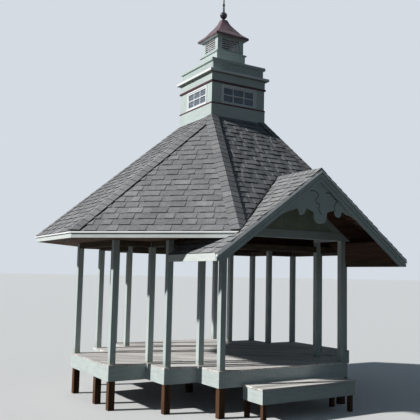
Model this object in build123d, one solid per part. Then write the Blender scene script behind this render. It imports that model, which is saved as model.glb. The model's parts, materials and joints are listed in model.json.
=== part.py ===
"""Garden gazebo: twenty posts on a stepped deck, an eight-sided roof, a gabled entrance and a cupola.

Millimetres, +Z up, the ground at Z = 0, the entrance faces -Y, the middle of the deck is at X = Y = 0.
"""

import math
import os

from build123d import *

os.makedirs("parts", exist_ok=True)

# Deck plan: a body with four arms, all half sizes from the middle
DECK_TOP = 735
ARM_X = 2620
ARM_X_HALF = 960
BODY_X = 1945
BODY_Y = 1640
ARM_Y = 2330
ARM_Y_HALF = 1335
FLOOR = 30
SKIRT = 30
SKIRT_H = 235

# Posts
POST = 100
POST_INSET = SKIRT
PIER = 110
TIMBER = 50
JOIST_STEP = 600
MID_PIER_Y = -250

# Main roof: octagon at the eaves, rectangle at the cupola
EAVE_X = 3360
EAVE_X_END = 1010
EAVE_Y = 3075
EAVE_Z = DECK_TOP + 2171
CUPOLA_X = 612
CUPOLA_Y = 645
ROOF_Z = DECK_TOP + 4557
SHINGLE = 14
BOARD = 30
SKIN = SHINGLE + BOARD
FASCIA = 22
FASCIA_INSET = 4
FASCIA_BOTTOM = DECK_TOP + 2056
DRIP = 6
DRIP_H = 25
SOFFIT = 12

# Beams over the posts
BEAM = 90
BEAM_BOTTOM = DECK_TOP + 1960
BEAM_TOP = FASCIA_BOTTOM + 12
TIE_BOTTOM = DECK_TOP + 2155
TIE_TOP = DECK_TOP + 2300

# Gabled entrance roof
GABLE_X = 1930
GABLE_Y = 3188
GABLE_PITCH = 0.735
RIDGE_Z = DECK_TOP + 3245
EAVE_Y_END = (RIDGE_Z - EAVE_Z) / GABLE_PITCH + 12.4
GABLE_FASCIA_BOTTOM = RIDGE_Z - GABLE_PITCH * GABLE_X - 126
RAKE_MOULD = 22
RAKE_DEPTH = 225
ORNAMENT_ASIDE = 23

# Cupola
WALL = 30
BASE_TOP = DECK_TOP + 4790
WALL_TOP = DECK_TOP + 5250
CORNICE_BOTTOM = DECK_TOP + 5405
CORNICE_TOP = DECK_TOP + 5465
PANE_X = 372
PANE_LOW = DECK_TOP + 4838
PANE_HIGH = DECK_TOP + 5164
SIDE_PANE_Y = -58
CASING = 28
CASING_OUT = 35
SILL = 20
PARAPET_X = 590
PARAPET_Y = 625
PARAPET_TOP = DECK_TOP + 5640
CAP_TOP = DECK_TOP + 5698
CAP_LIP = 35

# Louvred lantern and its metal roof
LANTERN = 305
LANTERN_LOW = DECK_TOP + 5996
LANTERN_TOP = DECK_TOP + 6345
LOUVRE_X = 203
LOUVRE_LOW = DECK_TOP + 6037
LOUVRE_HIGH = DECK_TOP + 6298
SLATS = 5
SLAT_W = 62
SLAT_TILT = 52
BALL = 75
SPIRE_TOP = DECK_TOP + 7420

# Entrance step
STEP_X = 960
STEP_ASIDE = 58
STEP_Y = 2900
STEP_TOP = DECK_TOP - FLOOR - SKIRT_H + 45
STEP_H = 240
STEP_BOARD = 28


def prism(points, low, high):
    """A straight block over a plan outline."""
    outline = make_face(Polyline(*[(x, y, low) for x, y in points], close=True).edges())
    return extrude(outline, amount=high - low, dir=(0, 0, 1))


def block(x0, x1, y0, y1, z0, z1):
    """A box between two corners."""
    return Pos((x0 + x1) / 2, (y0 + y1) / 2, (z0 + z1) / 2) * Box(x1 - x0, y1 - y0, z1 - z0)


def mirrored(points):
    """A plan outline from the corners of its +X +Y quarter, going round from the +X axis."""
    quarter = list(points)
    second = [(-x, y) for x, y in reversed(quarter)]
    third = [(-x, -y) for x, y in quarter]
    fourth = [(x, -y) for x, y in reversed(quarter)]
    return quarter + second + third + fourth


def deck_plan(inset):
    """The stepped deck outline, moved inwards."""
    return mirrored(
        [
            (ARM_X - inset, ARM_X_HALF - inset),
            (BODY_X - inset, ARM_X_HALF - inset),
            (BODY_X - inset, BODY_Y - inset),
            (ARM_Y_HALF - inset, BODY_Y - inset),
            (ARM_Y_HALF - inset, ARM_Y - inset),
        ]
    )


def room_plan(inset):
    """The same outline without the entrance arm."""
    kept = [(x, y) for x, y in deck_plan(inset) if y > -BODY_Y]
    corners = [(x, y) for x, y in kept if abs(abs(x) - (ARM_Y_HALF - inset)) > 1 or y > 0]
    return corners


def eave_plan(inset):
    """The octagon of the eaves, moved inwards."""
    nx = EAVE_Y - EAVE_X_END
    ny = EAVE_X - EAVE_Y_END
    length = math.hypot(nx, ny)
    nx, ny = nx / length, ny / length
    reach = nx * EAVE_X + ny * EAVE_X_END - inset
    x, y = EAVE_X - inset, EAVE_Y - inset
    return mirrored([(x, (reach - nx * x) / ny), ((reach - ny * y) / nx, y)])


def polygon(points):
    return make_face(Polyline(*points, close=True).edges())


def roof_body(drop):
    """The solid under the main roof's surface, lowered by the drop."""
    plan = eave_plan(0)
    low = [(x, y, EAVE_Z - drop) for x, y in plan]
    top = [(x, y, ROOF_Z - drop) for x, y in mirrored([(CUPOLA_X, CUPOLA_Y)])]
    faces = [polygon(low), polygon(top)]
    for side in range(4):
        a, b = low[2 * side], low[2 * side + 1]
        c = low[(2 * side + 2) % 8]
        here, there = top[side], top[(side + 1) % 4]
        faces.append(polygon([a, b, here]))
        faces.append(polygon([b, c, there, here]))
    return Solid(Shell(faces))


def under_roof(drop, depth):
    """The roof body with a straight skirt of the given depth below its eaves."""
    return roof_body(drop) + prism(eave_plan(0), EAVE_Z - drop - depth, EAVE_Z - drop)


def gable_z(x, drop):
    return RIDGE_Z - drop - GABLE_PITCH * abs(x)


def in_gable(points, y0, y1):
    """An outline in the XZ plane made solid between two Y planes."""
    outline = polygon([(x, y0, z) for x, z in points])
    return extrude(outline, amount=y1 - y0, dir=(0, 1, 0))


def gable_band(outer, inner, y0, y1, half=GABLE_X, floor_z=0):
    """A pair of sloping boards between two depths under the gable's surface."""
    pts = [(-half, gable_z(half, outer)), (0, RIDGE_Z - outer), (half, gable_z(half, outer))]
    low = gable_z(half, inner)
    if low >= floor_z:
        pts += [(half, low), (0, RIDGE_Z - inner), (-half, low)]
    else:
        x = (RIDGE_Z - inner - floor_z) / GABLE_PITCH
        pts += [(half, floor_z), (x, floor_z), (0, RIDGE_Z - inner), (-x, floor_z), (-half, floor_z)]
    return in_gable(pts, y0, y1)


def under_gable(drop, y0, y1, half=GABLE_X):
    """Everything below the gable's surface."""
    eave = gable_z(half, drop)
    return in_gable([(-half, 0), (-half, eave), (0, RIDGE_Z - drop), (half, eave), (half, 0)], y0, y1)


def ring(x, y, wall, low, high):
    """A rectangular frame with its outer half sizes and wall."""
    return block(-x, x, -y, y, low, high) - block(wall - x, x - wall, wall - y, y - wall, low, high)


def tiers(levels):
    """A stack of flat-sided rectangular tiers, from the half sizes and height of each level."""
    rings = [[(px, py, z) for px, py in mirrored([(x, y)])] for x, y, z in levels]
    faces = [polygon(rings[0]), polygon(rings[-1])]
    for low, high in zip(rings, rings[1:]):
        for i in range(4):
            j = (i + 1) % 4
            faces.append(polygon([low[i], low[j], high[j], high[i]]))
    return Solid(Shell(faces))


def save(name, shape):
    solids = shape.solids() if hasattr(shape, "solids") else [s for p in shape for s in p.solids()]
    body = solids[0] if len(solids) == 1 else Compound(children=list(solids))
    body.label = name
    export_step(body, f"parts/{name}.step")


def posts(corners, top):
    """Square posts standing on the deck at the given plan corners."""
    made = []
    for x, y in corners:
        cx = math.copysign(abs(x) - POST_INSET - POST / 2, x)
        cy = math.copysign(abs(y) - POST_INSET - POST / 2, y)
        made.append(block(cx - POST / 2, cx + POST / 2, cy - POST / 2, cy + POST / 2, DECK_TOP, top))
    return Compound(children=made)


def both_sides(shape, plane=Plane.YZ):
    return Compound(children=[*shape.solids(), *mirror(shape, about=plane).solids()])


# Deck, skirt boards, joists and piers
save("deck_floor", prism(deck_plan(0), DECK_TOP - FLOOR, DECK_TOP))
skirt = prism(deck_plan(0), DECK_TOP - FLOOR - SKIRT_H, DECK_TOP - FLOOR)
skirt -= prism(deck_plan(SKIRT), DECK_TOP - FLOOR - SKIRT_H, DECK_TOP - FLOOR)
save("deck_skirt", skirt)

layer = 110
joist_top = DECK_TOP - FLOOR
joist_low = joist_top - layer
beam_low = joist_low - layer
clear = SKIRT + PIER + TIMBER / 2


def timbers(rows, low, along_x):
    """Level timbers, each given by its distance from the middle and its half length."""
    made = []
    for offset, half in rows:
        near, far = offset - TIMBER / 2, offset + TIMBER / 2
        if along_x:
            made.append(block(-half, half, near, far, low, low + layer))
        else:
            made.append(block(near, far, -half, half, low, low + layer))
    return Compound(children=made)


long_y, mid_y, short_y = ARM_Y - SKIRT, BODY_Y - SKIRT, ARM_X_HALF - SKIRT
joist_rows = [(0, long_y)]
for side in (-1, 1):
    joist_rows += [(side * x, long_y) for x in (JOIST_STEP, ARM_Y_HALF - clear)]
    joist_rows += [(side * (BODY_X - clear), mid_y), (side * (ARM_X - clear), short_y)]
save("deck_joists", timbers(joist_rows, joist_low, False))

long_x, mid_x, short_x = ARM_X - SKIRT, BODY_X - SKIRT, ARM_Y_HALF - SKIRT
beam_rows = [(0, long_x)]
for side in (-1, 1):
    beam_rows += [(side * (ARM_X_HALF - clear), long_x), (side * (BODY_Y - clear), mid_x)]
    beam_rows += [(side * (ARM_Y - clear), short_x)]
save("deck_beams", timbers(beam_rows, beam_low, True))


def pier(cx, cy, top):
    half = PIER / 2
    return block(cx - half, cx + half, cy - half, cy + half, 0, top)


pier_in = SKIRT + PIER / 2
piers = [pier(0, 0, beam_low)]
for x, y in mirrored([(ARM_X, ARM_X_HALF), (BODY_X, BODY_Y), (ARM_Y_HALF, ARM_Y)]):
    piers.append(pier(math.copysign(abs(x) - pier_in, x), math.copysign(abs(y) - pier_in, y), joist_top))
for side in (-1, 1):
    piers.append(pier(side * (ARM_X - pier_in), MID_PIER_Y, joist_top))
    piers.append(pier(side * JOIST_STEP, 0, beam_low))
save("ground_posts", Compound(children=piers))

# Entrance step: a tread on a box of boards, standing on four short legs
nose = 15
step_low = STEP_TOP - STEP_H
box_top = STEP_TOP - STEP_BOARD
aside = Pos(STEP_ASIDE, 0, 0)
save("step_tread", aside * block(-STEP_X, STEP_X, -STEP_Y, -ARM_Y, box_top, STEP_TOP))
inner = STEP_X - nose
step_front = STEP_Y - nose
step_box = block(-inner, inner, -step_front, -ARM_Y, step_low, box_top)
step_box -= block(STEP_BOARD - inner, inner - STEP_BOARD, STEP_BOARD - step_front, -ARM_Y, step_low, box_top)
save("step_box", aside * step_box)
leg = 70
leg_x = inner - STEP_BOARD - leg
legs = []
for sx in (-1, 1):
    for y in (STEP_BOARD - step_front, -ARM_Y - leg):
        x0 = sx * leg_x if sx > 0 else -leg_x - leg
        legs.append(aside * block(x0, x0 + leg, y, y + leg, 0, box_top))
save("step_legs", Compound(children=legs))

# Posts in five groups, the ones under the main roof running up to the level of the soffit
west = posts([(-x, s * ARM_X_HALF) for x in (ARM_X, BODY_X) for s in (-1, 1)], BEAM_TOP)
east = posts([(x, s * ARM_X_HALF) for x in (ARM_X, BODY_X) for s in (-1, 1)], BEAM_TOP)
back = posts([(s * ARM_Y_HALF, y) for y in (ARM_Y, BODY_Y) for s in (-1, 1)], BEAM_TOP)
corner = posts(mirrored([(BODY_X, BODY_Y)]), BEAM_TOP)
inner_posts = posts([(s * ARM_Y_HALF, -BODY_Y) for s in (-1, 1)], BEAM_TOP)
front_posts = posts([(s * ARM_Y_HALF, -ARM_Y) for s in (-1, 1)], TIE_BOTTOM)
save("west_posts", west)
save("east_posts", east)
save("back_posts", back)
save("corner_posts", corner)
save("entrance_posts", Compound(children=[*inner_posts.solids(), *front_posts.solids()]))

# Beams between the posts, a little thinner than they are
beam_out = POST_INSET + (POST - BEAM) / 2
ring_posts = [post for group in (west, east, back, corner, inner_posts) for post in group.solids()]
beam = prism(room_plan(beam_out), BEAM_BOTTOM, BEAM_TOP)
beam -= prism(room_plan(beam_out + BEAM), BEAM_BOTTOM, BEAM_TOP)
save("ring_beam", beam - ring_posts)
tie_front = -ARM_Y + beam_out
tie = block(-GABLE_X, GABLE_X, tie_front, tie_front + BEAM, TIE_BOTTOM, TIE_TOP)
save("entrance_tie_beam", tie & under_gable(SKIN, -GABLE_Y, 0))
side_x = ARM_Y_HALF - beam_out
side_back = -BODY_Y + beam_out + BEAM
side = block(side_x - BEAM, side_x, tie_front + BEAM, side_back, TIE_BOTTOM, TIE_BOTTOM + 60)
side += block(side_x - BEAM, side_x, side_back - BEAM, side_back, BEAM_TOP, TIE_BOTTOM)
save("entrance_side_beams", both_sides(side))

# Main roof skins, cut away under the entrance gable
gable_cut = under_gable(0, -GABLE_Y - 100, -1500)
sheathing = under_roof(SHINGLE, BOARD) - roof_body(SKIN) - prism(eave_plan(-50), 0, EAVE_Z - SKIN)
cupola_hole = block(-CUPOLA_X, CUPOLA_X, -CUPOLA_Y, CUPOLA_Y, EAVE_Z, ROOF_Z + 100)
save("roof_sheathing", sheathing - cupola_hole - gable_cut)
shingles = under_roof(0, SHINGLE) - roof_body(SHINGLE)
save("roof_shingles", shingles - cupola_hole - gable_cut)

fascia = prism(eave_plan(FASCIA_INSET), FASCIA_BOTTOM, EAVE_Z + 100)
fascia -= prism(eave_plan(FASCIA_INSET + FASCIA), FASCIA_BOTTOM, EAVE_Z + 100)
fascia &= under_roof(SKIN, 200)
save("eave_fascia", fascia - gable_cut)
drip = prism(eave_plan(-DRIP), EAVE_Z - SHINGLE - DRIP_H, EAVE_Z - SHINGLE)
drip -= prism(eave_plan(0), EAVE_Z - SHINGLE - DRIP_H, EAVE_Z - SHINGLE)
save("eave_drip_edge", drip - gable_cut)
soffit = prism(eave_plan(FASCIA_INSET + FASCIA), BEAM_TOP - SOFFIT, BEAM_TOP)
soffit -= prism(room_plan(beam_out), BEAM_TOP - SOFFIT, BEAM_TOP)
save("eave_soffit", soffit - gable_cut - ring_posts)

# Entrance gable skins
inside_roof = roof_body(SKIN)
gable_back = -BODY_Y
fascia_front = -GABLE_Y + 45
gable_boards = gable_band(SHINGLE, SKIN, fascia_front, gable_back, GABLE_X - FASCIA)
gable_boards += gable_band(SHINGLE, SKIN, -GABLE_Y, fascia_front)
save("gable_sheathing", gable_boards - inside_roof)
gable_shingles = gable_band(0, SHINGLE, -GABLE_Y, gable_back)
save("gable_shingles", gable_shingles - inside_roof)

eave_board = block(GABLE_X - FASCIA, GABLE_X, fascia_front, gable_back, GABLE_FASCIA_BOTTOM, RIDGE_Z)
eave_board &= under_gable(SHINGLE, -GABLE_Y, 0)
save("gable_eave_fascia", both_sides(eave_board))

# Gable front: moulding, rake boards, ornament, pediment
mould_back = -GABLE_Y + 20
rake_mould = gable_band(SHINGLE, SKIN + RAKE_MOULD, -GABLE_Y - 12, -GABLE_Y)
rake_mould += gable_band(SKIN, SKIN + RAKE_MOULD, -GABLE_Y, mould_back)
save("gable_rake_mould", rake_mould)
rake = gable_band(SKIN, RAKE_DEPTH, mould_back, fascia_front, GABLE_X, GABLE_FASCIA_BOTTOM)
save("gable_rake_boards", rake)

lobe = [
    (0, 2349), (40, 2352), (75, 2364), (105, 2393), (123, 2425), (131, 2468), (133, 2520), (148, 2540),
    (192, 2552), (240, 2568), (282, 2580), (298, 2574), (306, 2545), (318, 2508), (345, 2480), (380, 2470),
    (409, 2478), (428, 2500), (438, 2532), (455, 2560), (480, 2570), (505, 2558), (532, 2536), (572, 2524),
    (640, 2512), (700, 2488), (750, 2460), (790, 2436),
]
edge = [(x, DECK_TOP + z) for x, z in lobe]
top_x = 800
outline = [(-x, z) for x, z in reversed(edge[1:])] + edge
outline += [(top_x, gable_z(top_x, RAKE_DEPTH - 40)), (0, gable_z(0, RAKE_DEPTH - 40))]
outline += [(-top_x, gable_z(top_x, RAKE_DEPTH - 40))]
ornament = in_gable(outline, fascia_front, fascia_front + 22)
save("gable_ornament", Pos(ORNAMENT_ASIDE, 0, 0) * ornament)

bead_y = tie_front + 30
over_tie = block(-GABLE_X, GABLE_X, -ARM_Y, 0, TIE_TOP, RIDGE_Z)
save("pediment_beadboard", under_gable(SKIN, bead_y, bead_y + 15) & over_tie)
save("pediment_side_boards", gable_band(SKIN, SKIN + 120, bead_y - 20, bead_y) & over_tie)

# Cupola: walls with a window in each side
box_low = ROOF_Z - 90
walls = ring(CUPOLA_X, CUPOLA_Y, WALL, box_low, CORNICE_BOTTOM)
walls -= block(-PANE_X, PANE_X, -CUPOLA_Y - 50, CUPOLA_Y + 50, PANE_LOW, PANE_HIGH)
pane_y0, pane_y1 = SIDE_PANE_Y - PANE_X, SIDE_PANE_Y + PANE_X
walls -= block(-CUPOLA_X - 50, CUPOLA_X + 50, pane_y0, pane_y1, PANE_LOW, PANE_HIGH)
save("cupola_walls", walls)


def collar(out, low, high):
    """A frame standing proud of the cupola walls."""
    return ring(CUPOLA_X + out, CUPOLA_Y + out, out, low, high)


base = collar(10, box_low, BASE_TOP) - under_roof(0, 0.5)
save("cupola_base_boards", base)
thin_band = collar(18, BASE_TOP, BASE_TOP + 24)
wide_band = collar(18, WALL_TOP - 34, WALL_TOP)
save("cupola_maroon_bands", Compound(children=[thin_band, wide_band]))
save("cupola_frieze", collar(8, WALL_TOP, CORNICE_BOTTOM))
cornice_steps = [(14, 0), (20, 6), (60, 22), (72, 26), (72, CORNICE_TOP - CORNICE_BOTTOM)]
shelf = tiers([(CUPOLA_X + out, CUPOLA_Y + out, CORNICE_BOTTOM + rise) for out, rise in cornice_steps])
shelf -= block(90 - CUPOLA_X, CUPOLA_X - 90, 90 - CUPOLA_Y, CUPOLA_Y - 90, CORNICE_BOTTOM, CORNICE_TOP)
save("cupola_cornice", shelf)

outer_x = PANE_X + CASING
casing_low, casing_high = PANE_LOW - SILL, PANE_HIGH + CASING
casing_y = block(-outer_x, outer_x, -CUPOLA_Y - CASING_OUT, -CUPOLA_Y, casing_low, casing_high)
casing_y -= block(-PANE_X, PANE_X, -CUPOLA_Y - CASING_OUT, -CUPOLA_Y, PANE_LOW, PANE_HIGH)
casing_x = block(-CUPOLA_X - CASING_OUT, -CUPOLA_X, pane_y0 - CASING, pane_y1 + CASING, casing_low, casing_high)
casing_x -= block(-CUPOLA_X - CASING_OUT, -CUPOLA_X, pane_y0, pane_y1, PANE_LOW, PANE_HIGH)
front_pair = both_sides(casing_y, Plane.XZ)
side_pair = both_sides(casing_x, Plane.YZ)
save("window_casings", Compound(children=[*front_pair.solids(), *side_pair.solids()]))
glass_y = block(-PANE_X, PANE_X, -CUPOLA_Y + 12, -CUPOLA_Y + 18, PANE_LOW, PANE_HIGH)
glass_x = block(-CUPOLA_X + 12, -CUPOLA_X + 18, pane_y0, pane_y1, PANE_LOW, PANE_HIGH)
panes = [*both_sides(glass_y, Plane.XZ).solids(), *both_sides(glass_x, Plane.YZ).solids()]
save("window_glass", Compound(children=panes))

save("parapet_walls", ring(PARAPET_X, PARAPET_Y, WALL, CORNICE_TOP, PARAPET_TOP))
cap_x, cap_y = PARAPET_X + CAP_LIP, PARAPET_Y + CAP_LIP
save("parapet_cap", block(-cap_x, cap_x, -cap_y, cap_y, PARAPET_TOP, CAP_TOP))

# Lantern
ledge = 26
save("lantern_plinth", ring(334, 334, WALL, CAP_TOP, LANTERN_LOW - ledge))
save("lantern_ledge", ring(358, 358, 100, LANTERN_LOW - ledge, LANTERN_LOW))
body = ring(LANTERN, LANTERN, WALL, LANTERN_LOW, LANTERN_TOP)
body -= block(-LOUVRE_X, LOUVRE_X, -LANTERN, LANTERN, LOUVRE_LOW, LOUVRE_HIGH)
body -= block(-LANTERN, LANTERN, -LOUVRE_X, LOUVRE_X, LOUVRE_LOW, LOUVRE_HIGH)
save("lantern_walls", body)
pitch = (LOUVRE_HIGH - LOUVRE_LOW) / (SLATS + 0.4)
slats = []
for turn in range(4):
    for n in range(SLATS):
        z = LOUVRE_LOW + pitch * (n + 0.7)
        slat = Pos(0, -LANTERN + 26, z) * Rot(SLAT_TILT, 0, 0) * Box(2 * LOUVRE_X, SLAT_W, 8)
        slats.append(Rot(0, 0, 90 * turn) * slat)
save("lantern_louvres", Compound(children=slats))


def spire_tiers(steps):
    """Square tiers over the lantern walls, from the half size and rise of each step."""
    return tiers([(half, half, LANTERN_TOP + rise) for half, rise in steps])


cove = spire_tiers([(LANTERN + 6, -48), (LANTERN + 24, -42), (LANTERN + 52, -8), (LANTERN + 56, 0)])
save("lantern_crown", cove - block(-LANTERN, LANTERN, -LANTERN, LANTERN, LANTERN_TOP - 48, LANTERN_TOP))
profile = [(388, 0), (386, 14), (330, 58), (268, 114), (200, 203), (146, 272), (100, 342), (70, 410), (58, 440)]
hollow = [(318, 0), (310, 30), (252, 96), (184, 186), (130, 255), (84, 326), (50, 400)]
save("lantern_roof", spire_tiers(profile) - spire_tiers(hollow))


def turned(points):
    """A solid of revolution from its profile: radius and height of each corner."""
    outline = polygon([(r, 0, z) for r, z in points])
    return revolve(outline, axis=Axis.Z)


neck = LANTERN_TOP + profile[-1][1]
ball_z = neck + 30 + BALL
arc = [math.radians(angle) for angle in range(-60, 75, 15)]
ball = [(0, neck), (34, neck), (30, neck + 12), (22, neck + 26)]
ball += [(BALL * math.cos(a), ball_z + BALL * math.sin(a)) for a in arc]
ball_top = ball[-1][1]
save("finial_ball", turned(ball + [(0, ball_top)]))

bead_z = DECK_TOP + 7120
spire = [(0, ball_top), (23, ball_top), (18, bead_z - 26), (26, bead_z - 9), (26, bead_z + 9)]
spire += [(17, bead_z + 24), (5, SPIRE_TOP), (0, SPIRE_TOP)]
save("finial_spire", turned(spire))
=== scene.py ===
"""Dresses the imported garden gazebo: boards, shingles, trim and finishes, with light and camera."""

import json
import math
import random

import bmesh
import bpy
from mathutils import Matrix, Vector

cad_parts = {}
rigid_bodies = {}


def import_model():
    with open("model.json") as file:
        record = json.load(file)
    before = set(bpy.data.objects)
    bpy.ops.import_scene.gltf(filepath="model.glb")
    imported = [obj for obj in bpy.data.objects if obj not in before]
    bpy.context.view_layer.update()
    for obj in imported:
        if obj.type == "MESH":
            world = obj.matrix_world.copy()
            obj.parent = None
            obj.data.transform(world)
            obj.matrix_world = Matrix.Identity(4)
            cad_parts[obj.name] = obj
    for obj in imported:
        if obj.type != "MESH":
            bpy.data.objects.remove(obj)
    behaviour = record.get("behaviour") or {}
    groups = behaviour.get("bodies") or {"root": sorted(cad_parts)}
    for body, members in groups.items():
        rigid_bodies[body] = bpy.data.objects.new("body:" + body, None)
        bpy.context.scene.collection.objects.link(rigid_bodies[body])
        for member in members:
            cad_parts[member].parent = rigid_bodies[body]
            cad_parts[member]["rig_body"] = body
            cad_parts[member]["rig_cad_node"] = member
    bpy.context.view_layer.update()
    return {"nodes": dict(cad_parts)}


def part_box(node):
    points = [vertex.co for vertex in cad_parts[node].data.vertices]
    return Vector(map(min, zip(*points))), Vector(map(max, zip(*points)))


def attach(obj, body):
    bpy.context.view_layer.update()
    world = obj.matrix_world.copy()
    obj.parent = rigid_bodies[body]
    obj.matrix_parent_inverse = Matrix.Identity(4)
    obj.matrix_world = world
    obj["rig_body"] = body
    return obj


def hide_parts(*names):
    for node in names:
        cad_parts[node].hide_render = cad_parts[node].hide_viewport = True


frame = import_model()


def least(part, axis):
    """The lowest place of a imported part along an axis, to a tenth of a millimetre."""
    return round(getattr(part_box(part)[0], axis), 4)


def most(part, axis):
    """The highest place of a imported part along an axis, to a tenth of a millimetre."""
    return round(getattr(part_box(part)[1], axis), 4)


# Sizes in metres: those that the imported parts' boxes give, and those that they don't
SHINGLE, SKIN, COURSE, HEAD_LAP = 0.014, 0.044, 0.143, 0.03
EAVE_LIP, RAKE_LIP = 0.006, 0.004
BOARD_PITCH, SOFFIT_PITCH, TREAD_PITCH, BEAD_PITCH, LINING_PITCH = 0.14, 0.12, 0.1425, 0.04, 0.045
DECK, ARM_X, ARM_Y = most("deck_floor", "z"), most("deck_floor", "x"), most("deck_floor", "y")
ARM_X_HALF, ARM_Y_HALF = 0.96, 1.335
BODY_X, BODY_Y = 1.945, 1.64
EAVE_X, EAVE_X_END = most("roof_shingles", "x"), 1.01
EAVE_Y, EAVE_Y_END = most("roof_shingles", "y"), 1.4736
EAVE_Z = round(least("roof_shingles", "z") + SHINGLE, 4)
ROOF_Z = most("roof_shingles", "z")
SOFFIT_Z = most("eave_soffit", "z")
GABLE_X, GABLE_Y = most("gable_shingles", "x"), -least("gable_shingles", "y")
GABLE_BACK, RIDGE_Z = -most("gable_shingles", "y"), most("gable_shingles", "z")
GABLE_PITCH = 0.735
PEDIMENT_Y, PEDIMENT_Z = least("pediment_beadboard", "y"), least("pediment_beadboard", "z")
PEDIMENT_HALF = 1.24
CUPOLA_X, CUPOLA_Y = most("cupola_walls", "x"), most("cupola_walls", "y")
PANE_X, PANE_LOW, PANE_HIGH = 0.372, least("window_glass", "z"), most("window_glass", "z")
SIDE_PANE_Y = -0.058
SASH_RAIL, SASH_BAR, SASH_THICK = 0.018, 0.0095, 0.020
PARAPET_X, PARAPET_Y = most("parapet_walls", "x"), most("parapet_walls", "y")
PARAPET_LOW, PARAPET_HIGH = least("parapet_walls", "z"), most("parapet_walls", "z")
LANTERN, LANTERN_TOP = most("lantern_walls", "x"), most("lantern_walls", "z")
LANTERN_EAVE, LANTERN_DROP = most("lantern_roof", "x"), 0.030
LOUVRE_X, LOUVRE_LOW, LOUVRE_HIGH = 0.203, 6.772, 7.033
SLATS, SLAT_DEPTH, SLAT_THICK, SLAT_TILT, SLAT_SEAT = 6, 0.034, 0.006, 48, 0.008
VALLEY_HEAD_Y, VALLEY_FOOT_X = 1.981, 1.461
ORNAMENT_Y, RAKE_Y = least("gable_ornament", "y"), least("gable_rake_boards", "y")
RAKE_FOOT = least("gable_rake_boards", "z")
FACE_THICK = 0.016

# How much longer than its slope each row is laid, before it is trimmed, and the gap between board ends
SHINGLE_SPARE, BOARD_SPARE, SOFFIT_SPARE, RAKE_SPARE = 0.03, 0.04, 0.02, 0.2
END_GAP = 0.002


# Working in the mesh editor


def only(*objs):
    """Selects these objects alone, the first one active."""
    bpy.ops.object.select_all(action="DESELECT")
    for piece in objs:
        piece.select_set(True)
    bpy.context.view_layer.objects.active = objs[0]


def edit(piece):
    """Opens one piece in the mesh editor."""
    only(piece)
    bpy.ops.object.mode_set(mode="EDIT")


def done():
    """Leaves the mesh editor."""
    bpy.ops.object.mode_set(mode="OBJECT")


def pick(test, kind="FACE"):
    """Selects the faces, edges or points whose middle and normal pass a test."""
    bpy.ops.mesh.select_mode(type=kind)
    bpy.ops.mesh.select_all(action="DESELECT")
    mesh = bpy.context.object.data
    bm = bmesh.from_edit_mesh(mesh)
    for item in {"FACE": bm.faces, "EDGE": bm.edges, "VERT": bm.verts}[kind]:
        if kind == "VERT":
            middle = item.co
        else:
            middle = sum((v.co for v in item.verts), Vector()) / len(item.verts)
        normal = item.normal if kind != "EDGE" else Vector()
        item.select_set(bool(test(middle, normal)))
    bm.select_flush_mode()
    bmesh.update_edit_mesh(mesh)


def coat(finish):
    """Gives the selected faces a finish, beside those that the piece has."""
    piece = bpy.context.object
    if finish.name not in piece.data.materials:
        piece.data.materials.append(finish)
    piece.active_material_index = piece.data.materials.find(finish.name)
    bpy.ops.object.material_slot_assign()


def modified(piece, kind, **values):
    """Adds a modifier with these values and applies it."""
    modifier = piece.modifiers.new(kind.lower(), kind)
    for key, value in values.items():
        setattr(modifier, key, value)
    only(piece)
    bpy.ops.object.modifier_apply(modifier=modifier.name)
    return piece


def eased(piece, width, segments=2, angle=30):
    """Rounds the sharp edges by a small width."""
    return modified(
        piece, "BEVEL", width=width, segments=segments, limit_method="ANGLE", angle_limit=math.radians(angle)
    )


def cube(name, low, high):
    """A block between two corners, its place in its mesh, to be shaped further."""
    low, high = Vector(low), Vector(high)
    bpy.ops.object.select_all(action="DESELECT")
    bpy.ops.mesh.primitive_cube_add(size=1, location=(low + high) / 2, scale=high - low)
    bpy.ops.object.transform_apply(location=True, rotation=True, scale=True)
    piece = bpy.context.object
    piece.name = name
    return piece


def joined(name, parts):
    """One piece of this name from several."""
    only(*parts)
    bpy.ops.object.join()
    piece = bpy.context.object
    piece.name = piece.data.name = name
    return piece


def clipped(piece, planes):
    """Cuts away what lies beyond each plane, a point and its outward normal, and closes the cuts."""
    edit(piece)
    bpy.ops.mesh.select_mode(type="VERT")
    for point, normal in planes:
        bpy.ops.mesh.select_all(action="SELECT")
        bpy.ops.mesh.bisect(plane_co=point, plane_no=normal, clear_outer=True)
        bpy.ops.mesh.select_all(action="SELECT")
        bpy.ops.mesh.fill_holes(sides=0)
    done()
    return piece


def twin(piece):
    """A copy with its own mesh."""
    new = piece.copy()
    new.data = piece.data.copy()
    bpy.context.collection.objects.link(new)
    return new


def zoned(piece, zones):
    """The piece cut to several zones, each a list of planes, and joined again."""
    parts = [clipped(twin(piece), planes) for planes in zones]
    bpy.data.objects.remove(piece)
    return joined(parts[0].name.split(".")[0], parts)


def laid(master, place, length, tone, shift):
    """A copy of a one metre blank: stretched along X, noted with its tone and grain, and put in place."""
    mesh = master.data.copy()
    for v in mesh.vertices:
        if v.co.x > 0.5:
            v.co.x += length - 1
    lay = mesh.attributes.new("lay", "FLOAT_VECTOR", "POINT")
    for v in mesh.vertices:
        lay.data[v.index].vector = v.co + Vector(shift)
    tones = mesh.attributes.new("tone", "FLOAT", "POINT")
    tones.data.foreach_set("value", [tone] * len(mesh.vertices))
    mesh.transform(place)
    piece = bpy.data.objects.new(master.name, mesh)
    bpy.context.collection.objects.link(piece)
    return piece


def quarter_turn(count):
    """A turn about the upright axis, from the front wall to the next ones."""
    return Matrix.Rotation(count * math.pi / 2, 4, "Z")


def placed(origin, along, across):
    """The matrix of a plane: X along, Y across, Z outwards."""
    along, across = Vector(along).normalized(), Vector(across).normalized()
    out = along.cross(across)
    matrix = Matrix((along, across, out)).transposed().to_4x4()
    matrix.translation = Vector(origin)
    return matrix


# Finishes


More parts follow.
